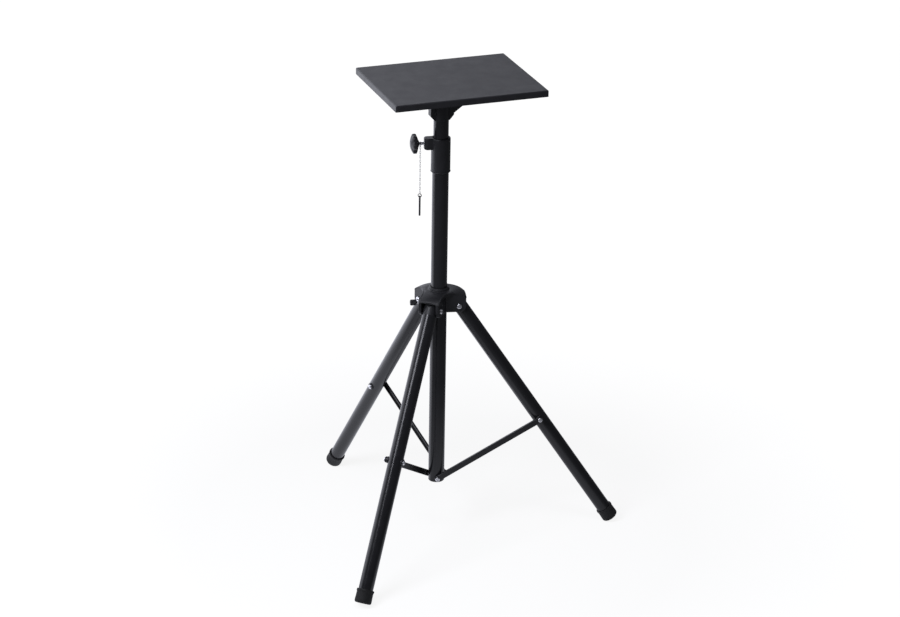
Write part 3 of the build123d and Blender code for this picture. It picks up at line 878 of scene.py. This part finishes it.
class STAND_OT_fasteners(bpy.types.Operator):
    """Sets the screws and washers of the legs and braces"""

    bl_idname = "stand.fasteners"
    bl_label = "Screws"

    bite = 0.5 * MM  # how far a shank goes into its head or its spacer
    saddle_bite = 0.3 * MM  # the same over a saddle
    column_spacer = (9.6 * MM, 1.9 * MM)  # its foot under the head's top, its top under the seat
    brace_spacer = 1.6 * MM  # its top under the head's seat
    leg_spacer = (0.1 * MM, 5.0 * MM)  # its foot and its top over the bolt's foot
    leg_spacer_edge = 0.4 * MM  # softening of its ends

    def execute(self, context):
        self.tree = screw_tree()
        self.shapes = {
            "head": add_object("head_shape", mesh_of(screw_head(), "head_shape")),
            "saddle": add_object("saddle_shape", mesh_of(saddle_washer(), "saddle_shape")),
        }
        self.leg_screws()
        self.column_screws()
        for leg in LEGS:
            self.leg_side(leg)
            self.brace_side(leg)
        for shape in self.shapes.values():
            bpy.data.objects.remove(shape)
        return {"FINISHED"}

    def put(self, builder, shape, diameter, places, slot="zinc"):
        """Sets a shape on each place."""
        grow(builder, self.tree, place_seed(places), {
            "Shape": self.shapes[shape], "Diameter": diameter, "Finish": finish(slot)})

    def leg_screws(self):
        """The screws that the legs turn on, with a head on either cheek."""
        across = sizes().leg_screw_d
        builder = bmesh.new()
        heads = []
        for leg in LEGS:
            origin, axis = joint_place(f"leg_{leg}_fold")
            place = screw_place(origin, axis)
            cheek = span(f"leg_bolt_{leg}", place)[1].z - HEAD_RISE * across
            heads += [(origin + axis * cheek, axis), (origin - axis * cheek, -axis)]
            rod(builder, place, LEG_SHANK_R * across, -cheek, cheek)
        self.put(builder, "head", across, heads)
        add_piece("leg_screws", builder, "hub", "zinc", [f"leg_bolt_{leg}" for leg in LEGS])

    def column_screws(self):
        """The screws that hold the braces on the column."""
        across = sizes().brace_screw_d
        builder = bmesh.new()
        heads = []
        for leg in LEGS:
            pivot, axis = joint_place(f"brace_{leg}_fold")
            origin = Vector((0, 0, pivot.z))
            place = screw_place(origin, axis)
            low, high = span(f"brace_screw_{leg}", place)
            seat = high.z - HEAD_RISE * across
            foot, top = self.column_spacer
            heads.append((origin + axis * seat, axis))
            rod(builder, place, SHANK_R * across, low.z, seat + self.bite)
            rod(builder, place, SPACER_R * across, high.z - foot, seat - top)
        self.put(builder, "head", across, heads)
        add_piece("brace_screws", builder, "column", "zinc", [f"brace_screw_{leg}" for leg in LEGS])

    def leg_side(self, leg):
        """The leg's half of a brace's pivot: a screw on a black saddle."""
        across = sizes().brace_screw_d
        saddle = sizes().saddle_d
        axis = joint_place(f"leg_{leg}_fold")[1]
        low, high = span(f"brace_bolt_{leg}", leg_place(leg))
        origin = leg_place(leg) @ Vector((0, 0, (low.z + high.z) / 2))
        place = screw_place(origin, axis)
        seat = high.y - HEAD_RISE * across
        top = seat + SADDLE_SEAT * saddle
        builder = bmesh.new()
        rod(builder, place, SHANK_R * across, low.y, top + self.saddle_bite)
        self.put(builder, "head", across, [(origin + axis * top, axis)])
        add_piece(f"leg_screw_{leg}", builder, f"leg_{leg}", "zinc", (f"brace_bolt_{leg}",))
        start, end = self.leg_spacer
        builder = bmesh.new()
        rod(builder, place, SADDLE_SPACER_R * saddle, low.y + start, low.y + end,
            self.leg_spacer_edge, SADDLE_ROUND)
        self.put(builder, "saddle", saddle, [(origin + axis * seat, axis)], "black_plastic")
        add_piece(f"leg_saddle_{leg}", builder, f"leg_{leg}", "black_plastic")

    def brace_side(self, leg):
        """The brace's half of its pivot: a head and a spacer."""
        across = sizes().brace_screw_d
        axis = joint_place(f"brace_{leg}_fold")[1]
        origin = middle(f"brace_rivet_{leg}")
        place = screw_place(origin, axis)
        low, high = span(f"brace_rivet_{leg}", place)
        seat = high.z - HEAD_RISE * across
        builder = bmesh.new()
        rod(builder, place, SPACER_R * across, low.z, seat - self.brace_spacer)
        rod(builder, place, SHANK_R * across, low.z + self.bite, seat + self.bite)
        self.put(builder, "head", across, [(origin + axis * seat, axis)])
        add_piece(f"brace_head_{leg}", builder, f"brace_{leg}", "zinc", (f"brace_rivet_{leg}",))


def chain_tree():
    """Hangs links one under another, each turned square to the last."""
    tree, given, out = geometry_tree("hang_links", {
        "Seed": "Geometry", "Link": "Object", "Links": "Int", "Top": "Vector", "Pitch": "Float",
        "First turn": "Float", "Turn": "Float", "Finish": "Material"})
    link = add_node(tree, "GeometryNodeObjectInfo", {"Object": given["Link"]})
    step = add_node(tree, "ShaderNodeCombineXYZ", {
        "Z": reckon(tree, "MULTIPLY", given["Pitch"], -1.0)})
    line = add_node(tree, "GeometryNodeMeshLine", {
        "Count": given["Links"], "Start Location": given["Top"], "Offset": step.outputs["Vector"]})
    index = add_node(tree, "GeometryNodeInputIndex")
    odd = reckon(tree, "MODULO", index.outputs["Index"], 2.0)
    turn = add_node(tree, "ShaderNodeCombineXYZ", {
        "Z": reckon(tree, "MULTIPLY_ADD", odd, given["Turn"], given["First turn"])})
    placed = add_node(tree, "GeometryNodeInstanceOnPoints", {
        "Points": line.outputs["Mesh"], "Instance": link.outputs["Geometry"],
        "Rotation": turn.outputs["Vector"]})
    return end_tree(tree, given, out, placed.outputs["Instances"])


class STAND_OT_chain(bpy.types.Operator):
    """Hangs the safety pin's chain and its split ring"""

    bl_idname = "stand.chain"
    bl_label = "Chain"

    link_steps = 24  # points round a link

    def execute(self, context):
        self.links()
        self.split_ring()
        return {"FINISHED"}

    def links(self):
        """The chain with the ring that hangs it on the clamp screw."""
        size = sizes()
        axis = joint_place("pin_swing")[1]
        low, high = span("pin_chain")
        hang = (low + high) / 2
        builder = bmesh.new()
        oval = self.oval(size.link_length - size.link_wire, size.link_width - size.link_wire)
        wire_loop(builder, oval, size.link_wire / 2)
        link = add_object("link_shape", mesh_of(builder, "link_shape"))
        last = low.z + size.link_length / 2
        top = Vector((hang.x, hang.y, last + size.link_pitch * (size.link_count - 1)))
        builder = bmesh.new()
        grow(builder, chain_tree(), place_seed([(top, UP)]), {
            "Link": link, "Links": size.link_count, "Top": top, "Pitch": size.link_pitch,
            "First turn": axis.xy.angle_signed(Vector((1, 0))), "Turn": pi / 2,
            "Finish": finish("chain_steel")})
        bpy.data.objects.remove(link)
        wire_r = size.ring_wire / 2
        middle_r = size.ring_bore / 2 + wire_r
        place = screw_place(Vector((hang.x, hang.y, high.z - middle_r - wire_r)), axis)
        wire_loop(builder, ring(middle_r, 0.0, WIRE_ROUND), wire_r, place)
        add_piece("chain_links", builder, "pin_hanger", "chain_steel", ("pin_chain",), sharp=80)

    def oval(self, length, width):
        """Middle line of a link, standing in the XZ plane."""
        reach = width / 2
        straight = length / 2 - reach
        points = []
        for i in range(self.link_steps):
            angle = tau * (i + 0.5) / self.link_steps
            lift = straight if sin(angle) > 0 else -straight
            points.append(Vector((reach * cos(angle), 0, reach * sin(angle) + lift)))
        return points

    def split_ring(self):
        """Two coils of wire pressed side by side, turned in the last link."""
        low, high = span("pin_ring")
        axis = Matrix.Rotation(sizes().split_turn, 3, "Z") @ joint_place("pin_swing")[1]
        wire_r = sizes().split_wire / 2
        reach = (high.z - low.z) / 2 - wire_r
        builder = bmesh.new()
        for side in (-1, 1):
            place = screw_place(middle("pin_ring") + axis * side * wire_r / 2, axis)
            wire_loop(builder, ring(reach, 0.0, WIRE_ROUND), wire_r, place)
        add_piece("split_ring", builder, "pin_hanger", "dark_steel", ("pin_ring",), sharp=80)


class STAND_OT_feet(bpy.types.Operator):
    """Turns the rubber feet with their lips and their treads"""

    bl_idname = "stand.feet"
    bl_label = "Feet"

    def execute(self, context):
        for leg in LEGS:
            place = leg_place(leg)
            low, high = span(f"foot_cap_{leg}", place)
            tube = span(f"leg_tube_{leg}", place)[1].x
            profile = self.profile(high.x / MM, tube / MM, low.z / MM, high.z / MM)
            builder = bmesh.new()
            turned(builder, [(radius * MM, z * MM) for radius, z in profile], ROUND, place)
            add_piece(
                f"rubber_foot_{leg}", builder, f"leg_{leg}", "foot_rubber", (f"foot_cap_{leg}",))
        return {"FINISHED"}

    def profile(self, reach, tube, foot, top):
        """A foot's tread, wall and lip in millimetres, from its middle out to the leg's tube."""
        tread = [
            (3, 1.6), (5, 1.2), (6, 0.2), (8, 0), (8.6, 0.9), (10, 0.9), (10.6, 0), (12.6, 0),
            (13.2, 0.7), (14.2, 0.7), (14.8, 0)]
        heel = [
            (-4, 0), (-2.5, 0.3), (-1.2, 1.2), (-0.3, 2.6), (0, 4.2), (0, 9), (-0.35, 16)]
        lip = [
            (-0.35, -7.5), (-0.1, -5.6), (0.45, -4.6), (0.7, -3.2), (0.6, -1.6), (0.1, -0.5),
            (-0.8, 0)]
        mouth = [(0.4, 0), (0.02, -0.5), (0.02, -4)]
        return (
            [(radius, foot + rise) for radius, rise in tread]
            + [(reach + out, foot + rise) for out, rise in heel]
            + [(reach + out, top + rise) for out, rise in lip]
            + [(tube + out, top + rise) for out, rise in mouth])


def weld_tree():
    """Lays overlapping drops along every edge of a seed, the way a weld ripples."""
    tree, given, out = geometry_tree("weld_ripples", {
        "Seams": "Geometry", "Drop": "Object", "Pitch": "Float", "Width": "Float",
        "Finish": "Material"})
    drop = add_node(tree, "GeometryNodeObjectInfo", {"Object": given["Drop"]})
    uneven = add_node(
        tree, "FunctionNodeRandomValue", {"Min": 0.86, "Max": 1.1, "Seed": 7}, data_type="FLOAT")
    width = reckon(tree, "MULTIPLY", given["Width"], uneven.outputs[1])
    size = add_node(tree, "ShaderNodeCombineXYZ", {axis: width for axis in "XYZ"})
    placed = add_node(tree, "GeometryNodeInstanceOnPoints", {
        "Points": even_line(tree, given["Seams"], given["Pitch"]),
        "Instance": drop.outputs["Geometry"], "Scale": size.outputs["Vector"]})
    return end_tree(tree, given, out, placed.outputs["Instances"])


class STAND_OT_welds(bpy.types.Operator):
    """Runs the welds of the tray's bracket"""

    bl_idname = "stand.welds"
    bl_label = "Welds"

    flange_sheet = 3.0 * MM  # thickness of the bracket's flange
    edge_drop = 0.6 * MM  # how far under the tray the flange's edges are welded
    edge_parts = ((0.12, 0.36), (0.64, 0.88))  # welded parts of the flange's long edges
    stub_steps = 48  # points round the stub
    head_x, head_y = 15.4 * MM, 8.5 * MM  # where the folded head meets the stub
    head_start, head_end = 16 * MM, 2 * MM  # bare ends of the welds along it
    drop_r = 0.5
    drop_round, drop_steps = 8, 5  # faces round a drop and from its one end to the other

    def execute(self, context):
        seams = bpy.data.meshes.new("seams")
        points = []
        edges = []
        for line in self.lines():
            edges += [(len(points) + i, len(points) + i + 1) for i in range(len(line) - 1)]
            points += line
        seams.from_pydata(points, edges, [])
        drop = add_object("drop_shape", mesh_of(self.drop(), "drop_shape"))
        builder = bmesh.new()
        grow(builder, weld_tree(), seams, {
            "Drop": drop, "Pitch": sizes().weld_pitch, "Width": sizes().weld_width,
            "Finish": finish("tray_paint")})
        bpy.data.objects.remove(drop)
        add_piece("bracket_welds", builder, "tray", "tray_paint", sharp=80)
        return {"FINISHED"}

    def drop(self):
        """A round drop one unit across, with a point at either end."""
        angles = [pi * i / self.drop_steps for i in range(1, self.drop_steps)]
        builder = bmesh.new()
        turned(builder, [
            (self.drop_r * sin(angle), -self.drop_r * cos(angle)) for angle in angles],
            self.drop_round)
        for vert in builder.verts:
            if vert.co.xy.length < SAME_POINT:
                vert.co.z = copysign(self.drop_r, vert.co.z)
        return builder

    def lines(self):
        """Where the welds run: along the flange's edges, round the stub and up the head."""
        low, high = span("tray_bracket")
        under = high.z - self.flange_sheet
        lines = []
        for first, last, y in ((low.x, high.x, low.y), (high.x, low.x, high.y)):
            start = Vector((first, y, high.z - self.edge_drop))
            end = Vector((last, y, high.z - self.edge_drop))
            lines += [[start.lerp(end, part) for part in parts] for parts in self.edge_parts]
        stub_r = span("inner_pole")[1].x
        lines.append(ring(stub_r, under, self.stub_steps) + [Vector((stub_r, 0, under))])
        for x in (-self.head_x, self.head_x):
            for y in (-self.head_y, self.head_y):
                lines.append([
                    Vector((x, y, low.z + self.head_start)), Vector((x, y, under - self.head_end))])
        return lines


def area_light(name, place, size, radiance):
    """A soft panel that faces the stand, as bright as its radiance says whatever its size."""
    width, height = size
    lamp = bpy.data.lights.new(name, "AREA")
    lamp.shape = "RECTANGLE"
    lamp.size = width
    lamp.size_y = height
    lamp.energy = radiance * pi * width * height
    lamp.color = stage().tint
    panel = bpy.data.objects.new(name, lamp)
    panel.location = place
    way = Vector(stage().light_aim) - Vector(place)
    panel.rotation_euler = way.to_track_quat("-Z", "Y").to_euler()
    bpy.context.scene.collection.objects.link(panel)


def bright_side(tree, direction, start, full):
    """The studio in polished surfaces: bright at the back on the left, dim elsewhere."""
    azimuth = stage().bright_azimuth
    facing = add_node(tree, "ShaderNodeVectorMath", {
        0: direction, 1: (cos(azimuth), sin(azimuth), 0.0)}, operation="DOT_PRODUCT")
    return ramp(
        tree, facing.outputs["Value"], start, full, stage().room_dim, stage().room_bright,
        shape="SMOOTHSTEP")


def tinted(tree, camera):
    """White to the camera, and the studio's own cool tint to everything else."""
    return blend_colours(tree, camera, (*stage().tint, 1.0), (1, 1, 1, 1))


def mirrored_rays(tree):
    """The sockets that tell a camera's ray, and a ray off metal or through glass."""
    rays = add_node(tree, "ShaderNodeLightPath").outputs
    either = reckon(tree, "MAXIMUM", rays["Is Glossy Ray"], rays["Is Transmission Ray"])
    return rays["Is Camera Ray"], either


class STAND_OT_stage(bpy.types.Operator):
    """Makes the pale floor, the white surround, the soft lights and the camera"""

    bl_idname = "stand.stage"
    bl_label = "Stage"

    floor_r = 9.0
    floor_grey = (0.3, 0.3, 0.3, 1)

    def execute(self, context):
        scene = context.scene
        scene.view_settings.view_transform = "Standard"
        self.make_world(scene)
        self.make_floor()
        settings = stage()
        area_light("key_box", settings.key_place, settings.key_size, settings.key_radiance)
        area_light("top_panel", settings.top_place, settings.top_size, settings.top_radiance)
        self.make_camera(scene)
        return {"FINISHED"}

    def make_world(self, scene):
        """White to the camera, a studio to polished surfaces and a dim room to matt ones."""
        world = bpy.data.worlds.new("white_surround")
        world.use_nodes = True
        scene.world = world
        tree = world.node_tree
        surround = tree.nodes["Background"]
        where = add_node(tree, "ShaderNodeTexCoord").outputs["Generated"]
        camera, mirrored = mirrored_rays(tree)
        studio = bright_side(tree, where, start=0.45, full=0.86)
        lit = blend_levels(tree, mirrored, stage().ambient, studio)
        tree.links.new(blend_levels(tree, camera, lit, 1.0), surround.inputs["Strength"])
        tree.links.new(tinted(tree, camera), surround.inputs["Color"])

    def make_floor(self):
        """A pale floor that keeps the stand's shadow and whitens away from it."""
        builder = bmesh.new()
        bmesh.ops.create_circle(builder, cap_ends=True, segments=ROUND, radius=self.floor_r)
        mesh = mesh_of(builder, "floor")
        material = bpy.data.materials.new("pale_floor")
        material.use_nodes = True
        tree = material.node_tree
        tree.nodes.clear()
        where = add_node(tree, "ShaderNodeTexCoord").outputs["Object"]
        reach = add_node(
            tree, "ShaderNodeVectorMath", {0: where}, operation="LENGTH").outputs["Value"]
        towards = add_node(
            tree, "ShaderNodeVectorMath", {0: where}, operation="NORMALIZE").outputs["Vector"]
        camera, mirrored = mirrored_rays(tree)
        # The camera sees it a little grey under the stand. Polished metal sees it dim there, and
        # lit as the studio's bright side is further out.
        white = ramp(tree, reach, start=0.6, end=1.6, first=0.88, last=1.0)
        near = ramp(tree, reach, start=0.35, end=0.9, first=0.5, last=0.0)
        fade = ramp(tree, reach, start=0.4, end=1.4, first=0.6, last=1.0)
        far = reckon(tree, "MULTIPLY", bright_side(tree, towards, start=0.56, full=0.8), fade)
        polished = reckon(tree, "MULTIPLY", reckon(tree, "MAXIMUM", near, far), mirrored)
        glow = add_node(tree, "ShaderNodeEmission", {
            "Color": tinted(tree, camera),
            "Strength": reckon(tree, "MULTIPLY_ADD", white, camera, polished)})
        matt = add_node(tree, "ShaderNodeBsdfDiffuse", {"Color": self.floor_grey})
        both = add_node(tree, "ShaderNodeAddShader", {0: matt.outputs[0], 1: glow.outputs[0]})
        add_node(tree, "ShaderNodeOutputMaterial", {"Surface": both.outputs[0]})
        mesh.materials.append(material)
        add_object("floor", mesh)

    def make_camera(self, scene):
        """The camera, rolled a little about its line of sight."""
        settings = stage()
        camera = bpy.data.cameras.new("camera")
        camera.sensor_fit = "HORIZONTAL"
        camera.sensor_width = 36.0
        camera.lens = settings.camera_lens
        camera.clip_end = 100.0
        eye = bpy.data.objects.new("camera", camera)
        place = Vector(settings.camera_place)
        sight = (Vector(settings.camera_aim) - place).normalized()
        level = sight.cross(UP).normalized()
        upright = level.cross(sight)
        right = level * cos(settings.camera_roll) + upright * sin(settings.camera_roll)
        eye.matrix_world = place_matrix(place, right, right.cross(sight), -sight)
        scene.collection.objects.link(eye)
        scene.camera = eye


OPERATORS = (
    STAND_OT_finishes, STAND_OT_mouldings, STAND_OT_knobs, STAND_OT_threads, STAND_OT_fasteners,
    STAND_OT_chain, STAND_OT_feet, STAND_OT_welds, STAND_OT_stage)


class STAND_PT_dresser(bpy.types.Panel):
    """Sidebar list of everything that dresses the stand"""

    bl_label = "Tray Stand"
    bl_idname = "STAND_PT_dresser"
    bl_space_type = "VIEW_3D"
    bl_region_type = "UI"
    bl_category = "Stand"

    def draw(self, context):
        for operator in OPERATORS:
            self.layout.operator(operator.bl_idname)


CLASSES = (StandColours, StandSizes, StandStage, *OPERATORS, STAND_PT_dresser)


def register():
    """Makes the classes and the scene's settings known."""
    for item in CLASSES:
        bpy.utils.register_class(item)
    bpy.types.Scene.stand_colours = PointerProperty(type=StandColours)
    bpy.types.Scene.stand_sizes = PointerProperty(type=StandSizes)
    bpy.types.Scene.stand_stage = PointerProperty(type=StandStage)


def unregister():
    """Takes them away again."""
    del bpy.types.Scene.stand_stage
    del bpy.types.Scene.stand_sizes
    del bpy.types.Scene.stand_colours
    for item in reversed(CLASSES):
        bpy.utils.unregister_class(item)


def main():
    """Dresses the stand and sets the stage."""
    register()
    bpy.ops.stand.finishes()
    bpy.ops.stand.mouldings()
    bpy.ops.stand.knobs()
    bpy.ops.stand.threads()
    bpy.ops.stand.fasteners()
    bpy.ops.stand.chain()
    bpy.ops.stand.feet()
    bpy.ops.stand.welds()
    bpy.ops.stand.stage()


if __name__ == "__main__":
    main()
